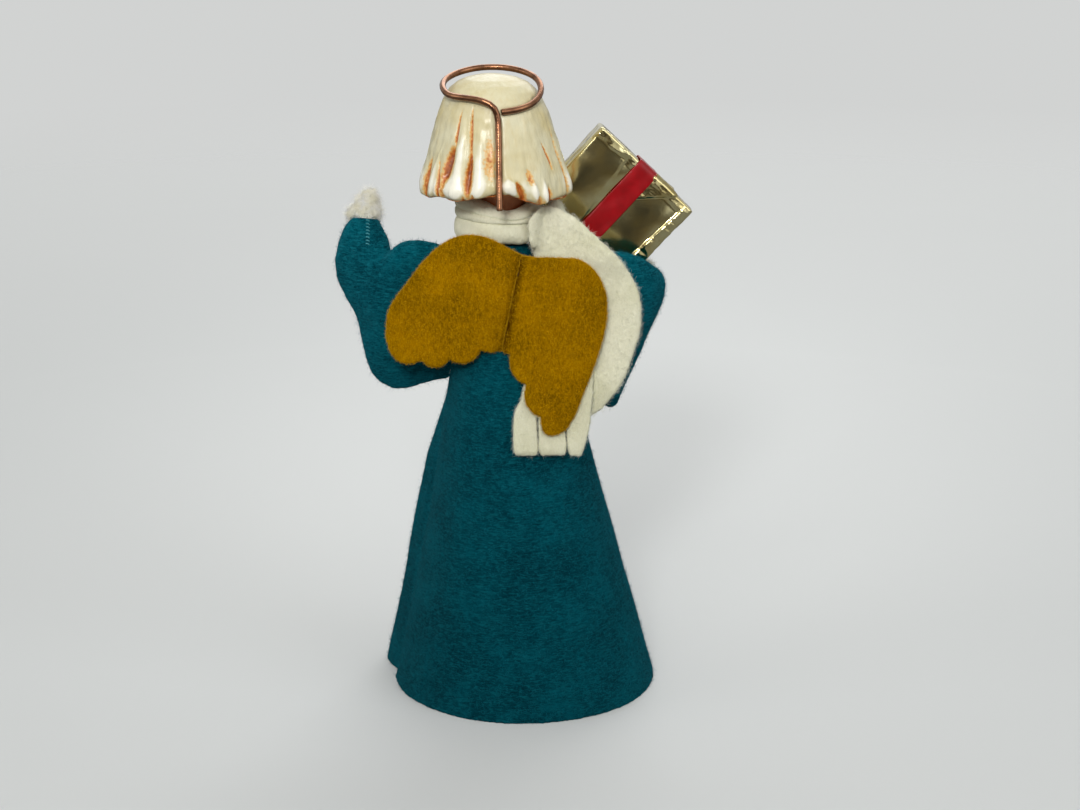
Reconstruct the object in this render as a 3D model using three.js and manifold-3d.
// Felt Christmas angel: a cone robe on a card former, bag sleeves on an arm wire, a sculpted head and hair,
// a wire halo, two felt wings on a centre seam, a fringed scarf and a wrapped gift.
// Millimetres, +Z up. The angel faces -Y and its left hand is on +X.
import * as THREE from 'three';
import { mergeVertices } from 'three/addons/utils/BufferGeometryUtils.js';
import Module from 'manifold-3d';

const wasm = await Module();
wasm.setup();

// Shared sizes
const CLEARANCE = 0.3;
const HEM_RADIUS = 34.8;
const ROBE_HEIGHT = 119;
const ROBE_TOP_RADIUS = 9;
const ROBE_DISH = 1.2;
const HEM_SHIFT = -0.6;
const TOP_SHIFT = 5.4;
const ROBE_FELT = 1.3;
const WING_FELT = 1.3;
const SCARF_FELT = 1.6;
const CARD = 0.8;
const CARD_LIFT = 1;
const ARM_WIRE = 1.6;
const ARM_DROP = 10;
const THREAD = 0.5;
const CUFF_STITCHES = 3;
const CUFF_SEAM_FROM = 0.79;
const CUFF_SEAM_TO = 0.98;
const STITCH_SWAY = 0.07;

// Robe panels
const BACK_PANEL_RIGHT = -100;
const BACK_PANEL_LEFT = 84;
const FRONT_PANEL_LEFT = 70;
const FRONT_PANEL_RIGHT = 276;
const FLARE = 6.8;
const FLARE_START = 90;
const FLARE_END = 150;
const FLARE_HEIGHT = 92;

// Plug, dowel and neck
const PLUG_DEPTH = 27;
const PLUG_INSET = 3;
const DOWEL_RADIUS = 2.5;
const DOWEL_DEPTH = 23;
const DOWEL_RISE = 12;
const NECK_RADIUS = 6.5;

// Mittens
const PALM_DEPTH = 2.9;
const PALM_HALF = 4;
const PALM_FLATNESS = 0.68;
const THUMB_HALF = 1.7;
const THUMB_REACH = 2.5;

// Head and hair, measured from the robe's top
const HEAD_RISE = 25.5;
const HEAD_WIDTH = 13;
const HEAD_DEPTH = 13.4;
const HEAD_TALL = 13.5;
const HAIR_SHIFT = 1.2;
const HAIR_TOP = 42.1;
const HAIR_RIM = 13.3;
const HAIR_RIM_RADIUS = 19.4;
const FRINGE_RISE = 31;
const FACE_HALF_WIDTH = 9.6;
const FACE_ARCH = 7;
const NOSE_DROP = 2;
const NOSE_HALF = 1.7;
const CHIN_DROP = 9.4;
const CHIN_HALF = 4.2;

// Halo
const HALO_RADIUS = 12.3;
const HALO_WIRE = 1.6;
const HALO_TILT = 15.5;
const HALO_RISE = 39.1;
const HALO_BACK = 2;
const HALO_DROP = 1.3;
const HALO_LIFT = 0.7;
const STEM_SEAT = 0.3;

// Scarf
const COLLAR_RADIUS = 12.2;
const COLLAR_BORE = 7.2;
const COLLAR_HEIGHT = 11.6;
const TAIL_SET_BACK = 3;
const TAIL_OVERLAP = 9;
const FRINGE_SLIT = 0.55;
const FRINGE_LENGTH = 9;
const KNOT_HALF = [3, 4.6, 4.6];

// Wings
const SEAM_GAP = 0.5;
const WING_STANDOFF = 1.2;
const LEFT_SWEEP = 5.2;
const RIGHT_SWEEP = 3;
const RIGHT_RAMP = 8;

// Gift
const GIFT_LENGTH = 32.2;
const GIFT_WIDTH = 25.4;
const GIFT_DEPTH = 11;
const FOIL = 0.4;
const FOIL_SLIT = 0.8;
const RIBBON_WIDTH = 6.2;
const RIBBON = 0.4;
const GIFT_TURN = 43;
const GIFT_YAW = 3;
const GIFT_PITCH = 6;

// Colours
const TEAL = 0x0b5c66;
const MUSTARD = 0xa87808;
const CREAM = 0xe4e3cd;
const RED = 0xb01018;
const GOLD = 0xb9a860;
const COPPER = 0x8a5a44;
const TERRACOTTA = 0xb86a3c;
const HAIR_WHITE = 0xefe9cf;
const WOOD = 0xc9a577;
const WIRE_GREY = 0x8c8c8c;

const angel = new THREE.Group();
angel.name = 'felt_angel';

function add(name, geometry, color, roughness = 0.9, metalness = 0) {
  const material = new THREE.MeshStandardMaterial({ color, roughness, metalness });
  const mesh = new THREE.Mesh(geometry, material);
  mesh.name = name;
  angel.add(mesh);
}

const radians = THREE.MathUtils.degToRad;
const { lerp, smoothstep } = THREE.MathUtils;
const smoothMax = (a, b, blend) => (a + b + Math.hypot(a - b, blend)) / 2;
const vec = (x, y, z) => new THREE.Vector3(x, y, z);

// Robe cone: slightly dished, and bending towards +X as it rises
const axisX = (z) => lerp(HEM_SHIFT, TOP_SHIFT, Math.max(z / ROBE_HEIGHT, 0) ** 1.4);

function robeRadius(z) {
  const share = z / ROBE_HEIGHT;
  return lerp(HEM_RADIUS, ROBE_TOP_RADIUS, share) - 4 * ROBE_DISH * share * (1 - share);
}

const layer = ROBE_FELT + CLEARANCE;
const cardRadius = (z) => robeRadius(z) - 2 * layer;

// A point on a cone of the robe's axis: angle 0 is the back, 90 is the angel's left
function conePoint(degrees, z, radius) {
  const angle = radians(degrees);
  return vec(axisX(z) + radius * Math.sin(angle), radius * Math.cos(angle), z);
}

// Depth of the robe's back surface over a point of the XZ plane
function robeBack(x, z) {
  const radius = robeRadius(Math.min(z, ROBE_HEIGHT));
  const aside = x - axisX(z);
  return Math.sqrt(Math.max(radius * radius - aside * aside, 0));
}

// The upper body is placed from the centre of the robe's top
const at = (x, y, rise) => vec(axisX(ROBE_HEIGHT) + x, y, ROBE_HEIGHT + rise);
const curveThrough = (points) => new THREE.CatmullRomCurve3(points.map((p) => at(...p)));

// Closed bodies
function facingOut(source) {
  const bare = new THREE.BufferGeometry();
  bare.setAttribute('position', source.getAttribute('position'));
  if (source.index) bare.setIndex(source.index);
  const merged = mergeVertices(bare, 1e-4);
  const position = merged.getAttribute('position');
  const corners = [0, 1, 2].map(() => vec(0, 0, 0));
  const kept = [];
  let volume = 0;
  for (let i = 0; i < merged.index.count; i += 3) {
    const face = [0, 1, 2].map((k) => merged.index.getX(i + k));
    if (new Set(face).size < 3) continue;
    face.forEach((v, k) => corners[k].fromBufferAttribute(position, v));
    volume += corners[0].dot(corners[1].clone().cross(corners[2]));
    kept.push(face);
  }
  const outward = volume < 0 ? kept.map(([a, b, c]) => [a, c, b]) : kept;
  merged.setIndex(outward.flat());
  merged.computeVertexNormals();
  return merged;
}

function closedBody(points, faces) {
  const geometry = new THREE.BufferGeometry();
  const flat = points.flatMap((p) => p.toArray());
  geometry.setAttribute('position', new THREE.Float32BufferAttribute(flat, 3));
  geometry.setIndex(faces.flat());
  return facingOut(geometry);
}

function quad(faces, a, b, c, d) {
  faces.push([a, b, c], [a, c, d]);
}

// A sheet with two faces: pointAt(u, v, side) gives side 0 and side 1
function thickSheet(columns, rows, pointAt) {
  const points = [];
  const faces = [];
  for (const side of [0, 1]) {
    for (let i = 0; i <= columns; i++) {
      for (let j = 0; j <= rows; j++) points.push(pointAt(i / columns, j / rows, side));
    }
  }
  const id = (side, i, j) => (side * (columns + 1) + i) * (rows + 1) + j;
  for (let i = 0; i < columns; i++) {
    for (let j = 0; j < rows; j++) {
      quad(faces, id(0, i, j), id(0, i + 1, j), id(0, i + 1, j + 1), id(0, i, j + 1));
      quad(faces, id(1, i, j), id(1, i, j + 1), id(1, i + 1, j + 1), id(1, i + 1, j));
    }
    quad(faces, id(0, i, 0), id(1, i, 0), id(1, i + 1, 0), id(0, i + 1, 0));
    quad(faces, id(0, i, rows), id(0, i + 1, rows), id(1, i + 1, rows), id(1, i, rows));
  }
  for (let j = 0; j < rows; j++) {
    quad(faces, id(0, 0, j), id(0, 0, j + 1), id(1, 0, j + 1), id(1, 0, j));
    quad(faces, id(0, columns, j), id(1, columns, j), id(1, columns, j + 1), id(0, columns, j + 1));
  }
  return closedBody(points, faces);
}

// Rings of points joined into a wall, appended to the lists
function wall(points, faces, stations, sides, pointAt, flip) {
  const first = points.length;
  for (let s = 0; s <= stations; s++) {
    for (let k = 0; k < sides; k++) points.push(pointAt(s / stations, (2 * Math.PI * k) / sides));
  }
  const id = (s, k) => first + s * sides + (k % sides);
  for (let s = 0; s < stations; s++) {
    for (let k = 0; k < sides; k++) {
      const ring = [id(s, k), id(s, k + 1), id(s + 1, k + 1), id(s + 1, k)];
      quad(faces, ...(flip ? ring.reverse() : ring));
    }
  }
  return id;
}

// A solid lofted along rings, closed by a fan at each end
function loftSolid(stations, sides, pointAt) {
  const points = [];
  const faces = [];
  const id = wall(points, faces, stations, sides, pointAt, false);
  for (const s of [0, stations]) {
    const centre = vec(0, 0, 0);
    for (let k = 0; k < sides; k++) centre.addScaledVector(points[id(s, k)], 1 / sides);
    points.push(centre);
    for (let k = 0; k < sides; k++) {
      const face = [points.length - 1, id(s, k + 1), id(s, k)];
      faces.push(s === 0 ? face : face.reverse());
    }
  }
  return closedBody(points, faces);
}

// A tube with a wall: the outer and inner lofts joined by a ring at each open end
function loftShell(stations, sides, outerAt, innerAt) {
  const points = [];
  const faces = [];
  const outer = wall(points, faces, stations, sides, outerAt, false);
  const inner = wall(points, faces, stations, sides, innerAt, true);
  for (let k = 0; k < sides; k++) {
    quad(faces, outer(0, k + 1), outer(0, k), inner(0, k), inner(0, k + 1));
    quad(faces, outer(stations, k), outer(stations, k + 1), inner(stations, k + 1), inner(stations, k));
  }
  return closedBody(points, faces);
}

// A round wire along a smooth path
function wire(points, diameter, sides, steps) {
  const section = new THREE.Shape();
  section.absarc(0, 0, diameter / 2, 0, 2 * Math.PI);
  const extrudePath = new THREE.CatmullRomCurve3(points);
  return facingOut(new THREE.ExtrudeGeometry(section, { extrudePath, steps, curveSegments: sides / 2 }));
}

// Solid arithmetic
function solid(geometry) {
  const tidy = facingOut(geometry);
  const vertProperties = new Float32Array(tidy.getAttribute('position').array);
  const triVerts = new Uint32Array(tidy.index.array);
  return new wasm.Manifold(new wasm.Mesh({ numProp: 3, vertProperties, triVerts }));
}

function geometryOf(body) {
  const mesh = body.getMesh();
  const geometry = new THREE.BufferGeometry();
  geometry.setAttribute('position', new THREE.BufferAttribute(new Float32Array(mesh.vertProperties), 3));
  geometry.setIndex(Array.from(mesh.triVerts));
  geometry.computeVertexNormals();
  return geometry;
}

function cut(base, ...tools) {
  return geometryOf(tools.reduce((body, tool) => body.subtract(solid(tool)), solid(base)));
}

function join(base, ...more) {
  return geometryOf(more.reduce((body, other) => body.add(solid(other)), solid(base)));
}

function ellipsoid(centre, rx, ry, rz, around = 20, down = 12) {
  const geometry = new THREE.SphereGeometry(1, around, down);
  geometry.rotateX(Math.PI / 2);
  geometry.scale(rx, ry, rz);
  geometry.translate(centre.x, centre.y, centre.z);
  return geometry;
}

function uprightCylinder(centre, radius, height, sides = 24) {
  const geometry = new THREE.CylinderGeometry(radius, radius, height, sides);
  geometry.rotateX(Math.PI / 2);
  geometry.translate(centre.x, centre.y, centre.z);
  return geometry;
}

// Gift: a block in a foil wrap with one ribbon band, turned on its corner
function giftMatrix() {
  const turn = radians(GIFT_TURN);
  const yaw = radians(GIFT_YAW);
  const pitch = radians(GIFT_PITCH);
  const level = vec(-Math.cos(turn), 0, -Math.sin(turn));
  const long = level.multiplyScalar(Math.cos(yaw)).add(vec(0, -Math.sin(yaw), 0));
  const wide = vec(Math.sin(turn), 0, -Math.cos(turn));
  for (const axis of [long, wide]) axis.applyAxisAngle(vec(1, 0, 0), pitch);
  const deep = long.clone().cross(wide);
  const corner = at(-26.5, -16, 26);
  const centre = corner
    .addScaledVector(long, GIFT_LENGTH / 2)
    .addScaledVector(wide, GIFT_WIDTH / 2)
    .addScaledVector(deep, GIFT_DEPTH / 2);
  return new THREE.Matrix4().makeBasis(long, wide, deep).setPosition(centre);
}

const giftPlace = giftMatrix();
const inGiftAt = (long, wide, deep) => vec(long, wide, deep).applyMatrix4(giftPlace);

// Arm wire: straight through the plug and the dowel, then bent inside each sleeve
const leftPalm = at(34.7, -10.9, 5.6);
const leftCuff = at(34.8, -8.2, 3.4);
const rightCuff = at(-38.3, -19, -14.8);
const rightPalm = inGiftAt(GIFT_LENGTH / 2 + CLEARANCE + PALM_DEPTH, 9, 4);
const armPath = [
  leftPalm, leftCuff, at(34.6, -6, -1), at(33, -3.5, -6.5), at(28, -1.2, 0.4 - ARM_DROP),
  ...[20, 10, 0, -11, -21].map((x) => at(x, 0, -ARM_DROP)),
  at(-32, -0.6, -ARM_DROP - 1), at(-38, -5, -13.5), at(-39.4, -11, -15), at(-39, -15.5, -15),
  rightCuff, rightPalm,
];

const armBore = () => wire(armPath, ARM_WIRE + 2 * CLEARANCE, 6, 48);

function makeArmWire() {
  return wire(armPath, ARM_WIRE, 6, 48);
}

// Robe panels: the back one laps over the front one at both sides
function flareAt(degrees, z) {
  const across = THREE.MathUtils.clamp((degrees - FLARE_START) / (FLARE_END - FLARE_START), 0, 1);
  const down = 1 - smoothstep(z, 0.55 * FLARE_HEIGHT, FLARE_HEIGHT);
  return FLARE * Math.sin(Math.PI * across ** 0.7) ** 2 * down;
}

function robePanel(fromAngle, toAngle, columns, rows, outerAt) {
  const panel = thickSheet(columns, rows, (u, v, side) => {
    const degrees = lerp(fromAngle, toAngle, u);
    const z = ROBE_HEIGHT * v;
    return conePoint(degrees, z, outerAt(degrees, z) - side * ROBE_FELT);
  });
  return cut(panel, armBore());
}

function makeBackPanel() {
  return robePanel(BACK_PANEL_RIGHT, BACK_PANEL_LEFT, 24, 5, (degrees, z) => robeRadius(z));
}

function makeFrontPanel() {
  const outerAt = (degrees, z) => robeRadius(z) - layer + flareAt(degrees, z);
  return robePanel(FRONT_PANEL_LEFT, FRONT_PANEL_RIGHT, 30, 8, outerAt);
}

function coneLoop(z, radius) {
  return (angle) => vec(axisX(z) + radius * Math.cos(angle), radius * Math.sin(angle), z);
}

// Card former inside the robe, open below
const cardTop = ROBE_HEIGHT - PLUG_INSET + 1;

function makeCardCone() {
  const height = (v) => lerp(CARD_LIFT, cardTop, v);
  const shell = loftShell(
    4, 32,
    (v, angle) => coneLoop(height(v), cardRadius(height(v)))(angle),
    (v, angle) => coneLoop(height(v), cardRadius(height(v)) - CARD)(angle),
  );
  return cut(shell, armBore());
}

const dowelAxis = at(0, 0, 0);

function dowelSolid(radius) {
  const height = DOWEL_DEPTH + DOWEL_RISE;
  const centre = vec(dowelAxis.x, 0, ROBE_HEIGHT + (DOWEL_RISE - DOWEL_DEPTH) / 2);
  return uprightCylinder(centre, radius, height);
}

function makePlug() {
  const height = (v) => ROBE_HEIGHT - lerp(PLUG_DEPTH, PLUG_INSET, v);
  const radius = (z) => cardRadius(z) - CARD - CLEARANCE;
  const block = loftSolid(2, 28, (v, angle) => coneLoop(height(v), radius(height(v)))(angle));
  return cut(block, dowelSolid(DOWEL_RADIUS + CLEARANCE), armBore());
}

const makeDowel = () => cut(dowelSolid(DOWEL_RADIUS), armBore());

// Head with its neck, nose and chin
const headCentre = at(1, 0, HEAD_RISE);
const neckBase = ROBE_HEIGHT + CLEARANCE;

function headSolid(grow) {
  const neckTop = headCentre.z - HEAD_TALL / 3;
  const neckCentre = vec(dowelAxis.x, 0, (neckBase + neckTop) / 2);
  return join(
    ellipsoid(headCentre, HEAD_WIDTH + grow, HEAD_DEPTH + grow, HEAD_TALL + grow, 22, 14),
    uprightCylinder(neckCentre, NECK_RADIUS + grow, neckTop - neckBase),
  );
}

function makeHead() {
  const front = -HEAD_DEPTH;
  const noseCentre = vec(headCentre.x, front, headCentre.z - NOSE_DROP);
  const nose = ellipsoid(noseCentre, NOSE_HALF, NOSE_HALF, 1.1 * NOSE_HALF, 12, 8);
  const chinCentre = vec(headCentre.x, 0.58 * front, headCentre.z - CHIN_DROP);
  const chin = ellipsoid(chinCentre, CHIN_HALF, 0.7 * CHIN_HALF, 0.62 * CHIN_HALF, 14, 8);
  const face = join(headSolid(0), nose, chin);
  return cut(face, dowelSolid(DOWEL_RADIUS + CLEARANCE));
}

// Hair cap: a bell of wavy locks over the skull, open at the face
const hairBell = new THREE.SplineCurve([
  [0.06, 0], [0.32, 0.03], [0.54, 0.11], [0.68, 0.26], [0.8, 0.5], [0.91, 0.76], [1, 1],
].map(([r, drop]) => new THREE.Vector2(r * HAIR_RIM_RADIUS, drop * (HAIR_TOP - HAIR_RIM))));

function lockWave(angle) {
  return 0.55 * Math.cos(11 * angle + 0.7 * Math.sin(3 * angle)) + 0.45 * Math.cos(7 * angle + 1.4);
}

function hairPoint(v, angle) {
  const profile = hairBell.getPoint(v);
  const wave = lockWave(angle) * v;
  const radius = profile.x * (1 + 0.035 * wave);
  const shift = HAIR_SHIFT * (1 - v);
  const z = ROBE_HEIGHT + HAIR_TOP - profile.y - 0.5 * wave * v;
  return vec(headCentre.x + shift + radius * Math.sin(angle), radius * Math.cos(angle), z);
}

function faceOpening() {
  const arch = new THREE.Shape();
  const sill = HAIR_RIM - 6;
  const spring = FRINGE_RISE - FACE_ARCH;
  arch.moveTo(-FACE_HALF_WIDTH, sill);
  arch.lineTo(FACE_HALF_WIDTH, sill);
  arch.lineTo(FACE_HALF_WIDTH, spring);
  arch.absellipse(0, spring, FACE_HALF_WIDTH, FACE_ARCH, 0, Math.PI);
  const depth = 2 * HAIR_RIM_RADIUS;
  const geometry = new THREE.ExtrudeGeometry(arch, { depth, bevelEnabled: false, curveSegments: 10 });
  geometry.rotateX(Math.PI / 2);
  geometry.translate(headCentre.x, -HEAD_DEPTH / 4, ROBE_HEIGHT);
  return geometry;
}

// Halo: one wire, a ring that bends down into a stem along the back of the hair
const stemRadius = (v) => hairBell.getPoint(v).x + HALO_WIRE / 2 - STEM_SEAT;
const stemRise = (v) => HAIR_TOP - hairBell.getPoint(v).y;

function haloPath() {
  const tilt = radians(HALO_TILT);
  const centre = vec(headCentre.x + HAIR_SHIFT * 0.7, HALO_BACK, ROBE_HEIGHT + HALO_RISE);
  const ringPoint = (degrees) => {
    const angle = radians(degrees);
    const back = HALO_RADIUS * Math.cos(angle);
    const side = HALO_RADIUS * Math.sin(angle);
    return vec(centre.x + side, centre.y + back * Math.cos(tilt), centre.z - back * Math.sin(tilt));
  };
  const points = [];
  const turns = 14;
  for (let i = 0; i <= turns; i++) {
    const share = i / turns;
    const place = ringPoint(lerp(-12, -303, share));
    place.z += HALO_LIFT * smoothstep(share, 0.7, 1) - HALO_DROP * (1 - smoothstep(share, 0.12, 0.38));
    points.push(place);
  }
  const stemTop = vec(headCentre.x - 1, stemRadius(0.62), ROBE_HEIGHT + stemRise(0.62));
  const stemEnd = vec(headCentre.x - 1.3, stemRadius(1) + 0.6, ROBE_HEIGHT + HAIR_RIM - 2);
  const ringBack = ringPoint(0);
  points.push(vec(stemTop.x + 4.4, ringBack.y - 0.7, ringBack.z + 0.9 + HALO_LIFT));
  points.push(vec(stemTop.x + 1.3, ringBack.y + 0.2, ringBack.z + 0.2));
  points.push(vec(stemTop.x + 0.2, ringBack.y + 0.5, ringBack.z - 2.4));
  for (const along of [0, 0.33, 0.67, 1]) points.push(stemTop.clone().lerp(stemEnd, along));
  return points;
}

const makeHalo = () => wire(haloPath(), HALO_WIRE, 8, 60);

function makeHair() {
  const bell = loftSolid(11, 44, hairPoint);
  const groove = wire(haloPath(), HALO_WIRE + 3 * CLEARANCE, 8, 60);
  return cut(bell, headSolid(CLEARANCE), faceOpening(), groove);
}

// Sleeves: a ruled bag between an upper and a lower edge, hollow, cut to the robe at the shoulder
function sleevePoint(sleeve, v, angle, inset) {
  const upper = sleeve.upper.getPoint(v);
  const lower = sleeve.lower.getPoint(v);
  const chord = lower.clone().sub(upper);
  const along = chord.clone().normalize();
  const ahead = Math.min(v + 0.02, 1);
  const behind = Math.max(v - 0.02, 0);
  const middle = (t) => sleeve.upper.getPoint(t).add(sleeve.lower.getPoint(t)).multiplyScalar(0.5);
  const out = along.clone().cross(middle(ahead).sub(middle(behind))).normalize();
  const across = (1 - Math.cos(angle)) / 2;
  const depth = lerp(sleeve.rootDepth, sleeve.cuffDepth, smoothstep(v, 0.45, 1)) - inset;
  const thinning = 1 - 0.45 * across * (1 - smoothstep(v, 0.6, 1));
  const place = inset + across * (chord.length() - 2 * inset);
  return upper.addScaledVector(along, place).addScaledVector(out, depth * Math.sin(angle) * thinning);
}

function robeEnvelope() {
  const height = (v) => lerp(-1, ROBE_HEIGHT + 1, v);
  return loftSolid(12, 48, (v, angle) => {
    const z = height(v);
    const fromBack = (450 - THREE.MathUtils.radToDeg(angle)) % 360;
    const flare = Math.max(flareAt(fromBack, z) - layer, 0);
    return coneLoop(z, robeRadius(z) + flare + CLEARANCE)(angle);
  });
}

function sleeveShell(sleeve, grow) {
  return loftShell(
    18, 20,
    (v, angle) => sleevePoint(sleeve, v, angle, -grow),
    (v, angle) => sleevePoint(sleeve, v, angle, ROBE_FELT + grow),
  );
}

const makeSleeve = (sleeve) => cut(sleeveShell(sleeve, 0), robeEnvelope());

const leftSleeve = {
  upper: curveThrough([
    [2, 0, -3.5], [12, 0, -1.8], [20, 0, -0.3], [25.5, -1, -1.6],
    [28.2, -3, -4.4], [29, -5, -1], [31.2, -8, 3.6],
  ]),
  lower: curveThrough([
    [9, 0, -37], [17, 0, -38], [26.5, -1, -40.6], [33, -2, -37], [35.4, -3, -29],
    [38.3, -4, -19.5], [43, -6, -9], [40.9, -8, 0], [38.4, -8.4, 3.6],
  ]),
  rootDepth: 6.6,
  cuffDepth: 3.7,
  stitchTurn: -69,
};

const rightSleeve = {
  upper: curveThrough([
    [-2, 0, -3.5], [-14, 0.5, -2.5], [-28, 0.5, -2.8], [-37, -1, -5.5], [-40.2, -7, -9.4],
    [-40.2, -13.5, -11.2], [-38.1, -19, -10.9],
  ]),
  lower: curveThrough([
    [-9, 0, -34], [-18, 0, -38], [-25, -0.5, -43.5], [-29.5, -2, -45.5],
    [-30.6, -5, -38], [-33.6, -10, -27.5], [-36.8, -14.5, -20.6], [-38.3, -19, -18.6],
  ]),
  rootDepth: 6.6,
  cuffDepth: 3.7,
  stitchTurn: 90,
};

// Stitches that close a cuff: one thread waving over the back of the left sleeve and the outside of the right
function makeCuffThread(sleeve) {
  const points = [];
  const perStitch = 8;
  const steps = perStitch * CUFF_STITCHES;
  for (let i = 0; i <= steps; i++) {
    const v = lerp(CUFF_SEAM_FROM, CUFF_SEAM_TO, i / steps);
    const sway = STITCH_SWAY * Math.sin((2 * Math.PI * i) / perStitch);
    const angle = radians(sleeve.stitchTurn) + sway;
    points.push(sleevePoint(sleeve, v, angle, -(CLEARANCE + THREAD / 2 + 0.1)));
  }
  return wire(points, THREAD, 6, 2 * steps);
}

// Mittens: a wrist that tucks into the cuff, a flat palm and a thumb
function makeMitten(sleeve, wrist, palm, tip, side, thumbAlong) {
  const path = new THREE.CatmullRomCurve3([wrist, wrist.clone().lerp(palm, 0.45), palm, tip]);
  const width = new THREE.SplineCurve([
    [0, 0.4], [0.28, 0.5], [0.42, 0.95], [0.55, 1], [0.75, 0.8], [0.9, 0.55], [1, 0.25],
  ].map(([along, share]) => new THREE.Vector2(along, share * PALM_HALF)));
  const body = loftSolid(10, 14, (v, angle) => {
    const half = width.getPoint(v);
    const centre = path.getPoint(half.x);
    const along = path.getTangent(half.x);
    const across = side.clone().addScaledVector(along, -side.dot(along)).normalize();
    const through = along.clone().cross(across);
    const thick = Math.min(half.y, PALM_FLATNESS * lerp(half.y, PALM_HALF, 0.55));
    centre.addScaledVector(across, half.y * Math.cos(angle));
    return centre.addScaledVector(through, thick * Math.sin(angle));
  });
  const thumb = ellipsoid(vec(0, 0, 0), THUMB_HALF, THUMB_HALF, THUMB_REACH, 10, 6);
  const lift = tip.clone().sub(palm).normalize();
  const tilt = lift.clone().addScaledVector(side, 0.15).normalize();
  thumb.applyQuaternion(new THREE.Quaternion().setFromUnitVectors(vec(0, 0, 1), tilt));
  const root = palm.clone().addScaledVector(side, 0.75 * PALM_HALF).addScaledVector(lift, thumbAlong);
  thumb.translate(root.x, root.y, root.z);
  return cut(join(body, thumb), armBore(), sleeveShell(sleeve, CLEARANCE));
}

// Gift pieces
function giftBox(grow) {
  const sizes = [GIFT_LENGTH, GIFT_WIDTH, GIFT_DEPTH].map((size) => size + 2 * grow);
  return new THREE.BoxGeometry(...sizes);
}

const inGift = (geometry) => facingOut(geometry.applyMatrix4(giftPlace));
const makeGiftBlock = () => inGift(giftBox(-FOIL - CLEARANCE));

function makeGiftFoil() {
  const seam = new THREE.BoxGeometry(FOIL * 4, GIFT_WIDTH / 2, FOIL_SLIT);
  seam.translate(GIFT_LENGTH / 2, 0, 0);
  return inGift(cut(giftBox(0), giftBox(-FOIL), seam));
}

function makeGiftRibbon() {
  const inner = CLEARANCE;
  const outer = CLEARANCE + RIBBON;
  const band = new THREE.BoxGeometry(RIBBON_WIDTH, GIFT_WIDTH + 2 * outer, GIFT_DEPTH + 2 * outer);
  const bore = new THREE.BoxGeometry(2 * RIBBON_WIDTH, GIFT_WIDTH + 2 * inner, GIFT_DEPTH + 2 * inner);
  return inGift(cut(band, bore));
}

function makeRightMitten() {
  const fingers = vec(-0.18, -0.887, 0.42).normalize();
  const wrist = rightCuff.clone().addScaledVector(vec(0.25, -0.9, 0.2), -2);
  const tip = rightPalm.clone().addScaledVector(fingers, 4.6);
  const side = vec(0.62, -0.3, -0.72).normalize();
  const hand = makeMitten(rightSleeve, wrist, rightPalm, tip, side, 0.4);
  const giftEnvelope = giftBox(CLEARANCE).applyMatrix4(giftPlace);
  return cut(hand, giftEnvelope);
}

function makeLeftMitten() {
  const wrist = leftCuff.clone().add(vec(0, 1.4, -2.6));
  const tip = leftPalm.clone().add(vec(-1.3, -1.9, 4.4));
  return makeMitten(leftSleeve, wrist, leftPalm, tip, vec(1, 0, 0), -1.6);
}

// Scarf: a collar of two wraps, a knot and two tails down the back
const collarBottom = ROBE_HEIGHT + CLEARANCE;

function makeCollar() {
  const lobe = COLLAR_HEIGHT / 4;
  const profile = new THREE.Path();
  profile.moveTo(COLLAR_BORE, 0);
  profile.lineTo(COLLAR_RADIUS - lobe, 0);
  profile.absellipse(COLLAR_RADIUS - lobe, lobe, lobe, lobe, -Math.PI / 2, Math.PI / 2);
  profile.absellipse(COLLAR_RADIUS - lobe - 0.7, 3 * lobe, lobe, lobe, -Math.PI / 2, Math.PI / 2);
  profile.lineTo(COLLAR_BORE, COLLAR_HEIGHT);
  profile.lineTo(COLLAR_BORE, 0);
  const ring = new THREE.LatheGeometry(profile.getPoints(3), 28);
  ring.rotateX(Math.PI / 2);
  ring.translate(dowelAxis.x, 0, collarBottom);
  return facingOut(ring);
}

function knotSolid(grow) {
  const [rx, ry, rz] = KNOT_HALF.map((half) => half + grow);
  return ellipsoid(at(-13.6, 0.4, 5.8), rx, ry, rz, 16, 10);
}

function makeKnot() {
  const middle = vec(dowelAxis.x, 0, collarBottom + COLLAR_HEIGHT / 2);
  return cut(knotSolid(0), uprightCylinder(middle, COLLAR_RADIUS + CLEARANCE, 2 * COLLAR_HEIGHT, 48));
}

const tailBase = (x, z) => smoothMax(robeBack(x, z), robeRadius(z) - TAIL_SET_BACK, 1.5);

// Depth of the collar's back, fading out below it
function collarBack(x, z) {
  const aside = x - dowelAxis.x;
  const depth = Math.sqrt(Math.max((COLLAR_RADIUS + CLEARANCE) ** 2 - aside * aside, 0));
  return depth * smoothstep(z - ROBE_HEIGHT, -2.5, 0.2);
}

const fringedInner = (x, z) => smoothMax(tailBase(x, z) + CLEARANCE, collarBack(x, z), 1);

// The outer tail comes off the collar and dips under the fringed one
function outerTailInner(x, z) {
  const dip = 1 - smoothstep(z - ROBE_HEIGHT, -TAIL_OVERLAP, -2);
  return fringedInner(x, z) - dip * (SCARF_FELT + CLEARANCE);
}

// A sheet ruled between two edges in the XZ plane, laid on a depth map of its inner face
function laidSheet(columns, rows, edgeA, edgeB, innerAt, thickness) {
  return thickSheet(columns, rows, (u, v, side) => {
    const p = edgeA(v).lerp(edgeB(v), u);
    p.y = innerAt(p.x, p.z) + side * thickness;
    return p;
  });
}

const alongCurve = (points) => {
  const curve = curveThrough(points.map(([x, rise]) => [x, 0, rise]));
  return (v) => curve.getPoint(v);
};

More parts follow.
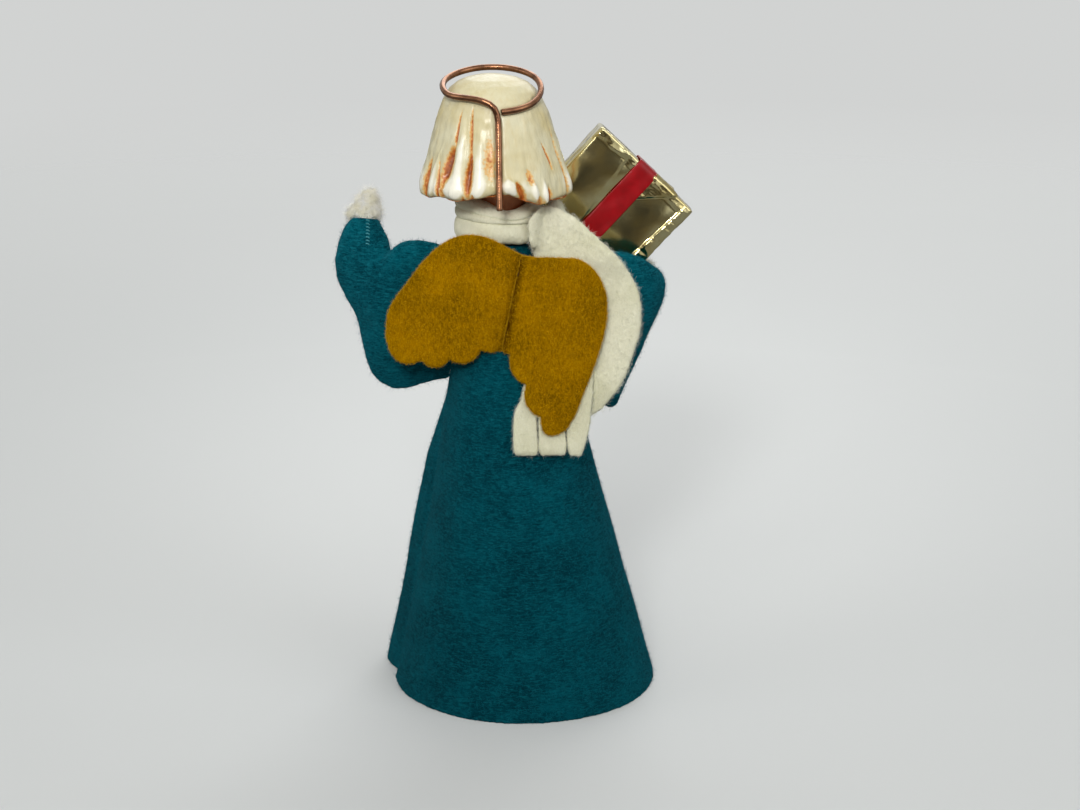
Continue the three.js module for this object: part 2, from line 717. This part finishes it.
function makeFringedTail() {
  const inner = alongCurve([
    [-10.6, -TAIL_OVERLAP], [-10.5, -16], [-10.2, -24],
    [-6.6, -33.7], [-5.6, -37.7], [-3.9, -41.5], [-3.7, -51],
  ]);
  const outer = alongCurve([
    [-22, -TAIL_OVERLAP], [-24, -15], [-24.3, -22],
    [-23.6, -31], [-23.2, -38], [-22.4, -45.5], [-20.8, -52.2],
  ]);
  const strip = laidSheet(8, 18, inner, outer, fringedInner, SCARF_FELT);
  const slits = [0.36, 0.79].map((share) => {
    const foot = inner(1).lerp(outer(1), share);
    const slit = new THREE.BoxGeometry(FRINGE_SLIT, 4 * COLLAR_RADIUS, 2 * FRINGE_LENGTH);
    slit.rotateY(radians(6 * share));
    slit.translate(foot.x, foot.y + robeRadius(foot.z), foot.z);
    return slit;
  });
  return cut(strip, ...slits);
}

function makeOuterTail() {
  const inner = alongCurve([
    [-6.9, 7.4], [-7.7, 1.3], [-8.9, -3], [-12, -7], [-17, -12.5], [-20, -19], [-20.4, -29], [-18.6, -36.5],
  ]);
  const outer = alongCurve([
    [-10, 10.2], [-14.6, 9], [-19.2, 6.2], [-24.8, 1.4], [-30.4, -4.4],
    [-35, -12], [-35.4, -22], [-31.6, -33.6], [-26, -41.6],
  ]);
  const strip = laidSheet(8, 22, inner, outer, outerTailInner, SCARF_FELT);
  return cut(strip, knotSolid(CLEARANCE));
}

// Wings: two felt sheets sewn to the back along one slanting seam
const seamTop = at(-5.7, COLLAR_RADIUS + WING_STANDOFF, -1.5);
const seamFoot = at(-0.9, 0, -25.7);
seamFoot.y = robeRadius(seamFoot.z) + CLEARANCE;
const seamFlat = vec(seamFoot.x - seamTop.x, 0, seamFoot.z - seamTop.z);
const seamLength = seamFlat.length();
const seamDown = seamFlat.clone().normalize();
const seamSide = vec(-seamDown.z, 0, seamDown.x);

function seamShare(x, z) {
  return ((x - seamTop.x) * seamDown.x + (z - seamTop.z) * seamDown.z) / seamLength;
}

const seamReach = (x, z) => (x - seamTop.x) * seamSide.x + (z - seamTop.z) * seamSide.z;
const seamDepth = (x, z) => lerp(seamTop.y, seamFoot.y, seamShare(x, z));

function leftWingInner(x, z) {
  const reach = Math.max(seamReach(x, z), 0) / 30;
  return smoothMax(seamDepth(x, z) - LEFT_SWEEP * reach * reach, robeBack(x, z) + CLEARANCE, 0.2);
}

function rightWingInner(x, z) {
  const reach = Math.max(-seamReach(x, z), 0);
  const seam = seamDepth(x, z);
  const overScarf = fringedInner(x, z) + SCARF_FELT + CLEARANCE;
  const swept = seam - RIGHT_SWEEP * (reach / 25) ** 2;
  const draped = smoothMax(overScarf, swept, 1);
  return smoothMax(lerp(seam, draped, smoothstep(reach, 0, RIGHT_RAMP)), robeBack(x, z) + CLEARANCE, 0.2);
}

// A trailing edge of rounded lobes: each notch is [x, rise, bulge of the lobe that ends there]
function lobedEdge(notches, outward) {
  const points = notches.map(([x, rise]) => at(x, 0, rise));
  const shares = notches.map((notch) => notch[2]);
  const lobes = points.length - 1;
  return (v) => {
    const lobe = Math.min(Math.floor(v * lobes), lobes - 1);
    const part = v * lobes - lobe;
    const from = points[lobe];
    const to = points[lobe + 1];
    const away = vec(to.z - from.z, 0, from.x - to.x).normalize();
    const bulge = outward * shares[lobe + 1] * from.distanceTo(to) * Math.sin(Math.PI * part) ** 0.8;
    return from.clone().lerp(to, part).addScaledVector(away, bulge);
  };
}

const makeWing = (leading, trailing, innerAt) => laidSheet(5, 28, leading, trailing, innerAt, WING_FELT);
const besideSeam = (point, direction) => [
  point.x - axisX(ROBE_HEIGHT) + direction * SEAM_GAP * seamSide.x,
  point.z - ROBE_HEIGHT + direction * SEAM_GAP * seamSide.z,
];

function makeLeftWing() {
  const leading = alongCurve([
    besideSeam(seamTop, 1), [-3.2, 0], [2.7, 3], [7.5, 3.7], [12.3, 2.4],
    [18.2, -2.6], [23.8, -10], [28, -16.3], [29, -22.6],
  ]);
  const trailing = lobedEdge([
    besideSeam(seamFoot, 1), [4.8, -25.4, 0.1], [12.8, -28.1, 0.25],
    [19.8, -28.8, 0.27], [28.7, -24.2, 0.33],
  ], 1);
  return makeWing(leading, trailing, leftWingInner);
}

function makeRightWing() {
  const leading = alongCurve([
    besideSeam(seamTop, -1), [-15.6, -2.1], [-20.2, -2.7], [-24.4, -6.1], [-27, -12.6],
    [-26.6, -20.6], [-24.1, -28.9], [-21.4, -35.6], [-19.2, -41.6], [-17.4, -44.7],
  ]);
  const trailing = lobedEdge([
    besideSeam(seamFoot, -1), [-2.9, -26.2, 0.1], [-6.9, -33.7, 0.22],
    [-10.6, -42, 0.22], [-16.6, -45.8, 0.45],
  ], -1);
  return makeWing(leading, trailing, rightWingInner);
}

// Running stitches that hold the wings: one thread waving along the seam gap
function makeSeamThread() {
  const points = [];
  const stitches = 6;
  for (let i = 0; i <= 2 * stitches; i++) {
    const p = seamTop.clone().lerp(seamFoot, lerp(0.04, 0.96, i / (2 * stitches)));
    p.y += WING_FELT * (i % 2 ? 0.32 : 0.62);
    points.push(p);
  }
  return wire(points, THREAD, 6, 36);
}

add('card_cone', makeCardCone(), RED);
add('cone_plug', makePlug(), WOOD);
add('neck_dowel', makeDowel(), WOOD);
add('arm_wire', makeArmWire(), WIRE_GREY, 0.5, 1);
add('robe_back_panel', makeBackPanel(), TEAL);
add('robe_front_panel', makeFrontPanel(), TEAL);
add('left_sleeve', makeSleeve(leftSleeve), TEAL);
add('right_sleeve', makeSleeve(rightSleeve), TEAL);
add('left_cuff_thread', makeCuffThread(leftSleeve), TEAL);
add('right_cuff_thread', makeCuffThread(rightSleeve), TEAL);
add('left_mitten', makeLeftMitten(), CREAM);
add('right_mitten', makeRightMitten(), CREAM);
add('head', makeHead(), TERRACOTTA, 0.6);
add('hair_cap', makeHair(), HAIR_WHITE, 0.3);
add('halo_wire', makeHalo(), COPPER, 0.4, 1);
add('scarf_collar', makeCollar(), CREAM);
add('scarf_knot', makeKnot(), CREAM);
add('scarf_outer_tail', makeOuterTail(), CREAM);
add('scarf_fringed_tail', makeFringedTail(), CREAM);
add('left_wing', makeLeftWing(), MUSTARD);
add('right_wing', makeRightWing(), MUSTARD);
add('wing_seam_thread', makeSeamThread(), MUSTARD);
add('gift_block', makeGiftBlock(), WOOD);
add('gift_foil', makeGiftFoil(), GOLD, 0.3, 1);
add('gift_ribbon', makeGiftRibbon(), RED, 0.4);

// The part's origin is the centre of its bounding box, on the floor
const bounds = new THREE.Box3().setFromObject(angel);
const middle = bounds.getCenter(vec(0, 0, 0));
angel.children.forEach((mesh) => mesh.geometry.translate(-middle.x, -middle.y, -bounds.min.z));

export default angel;
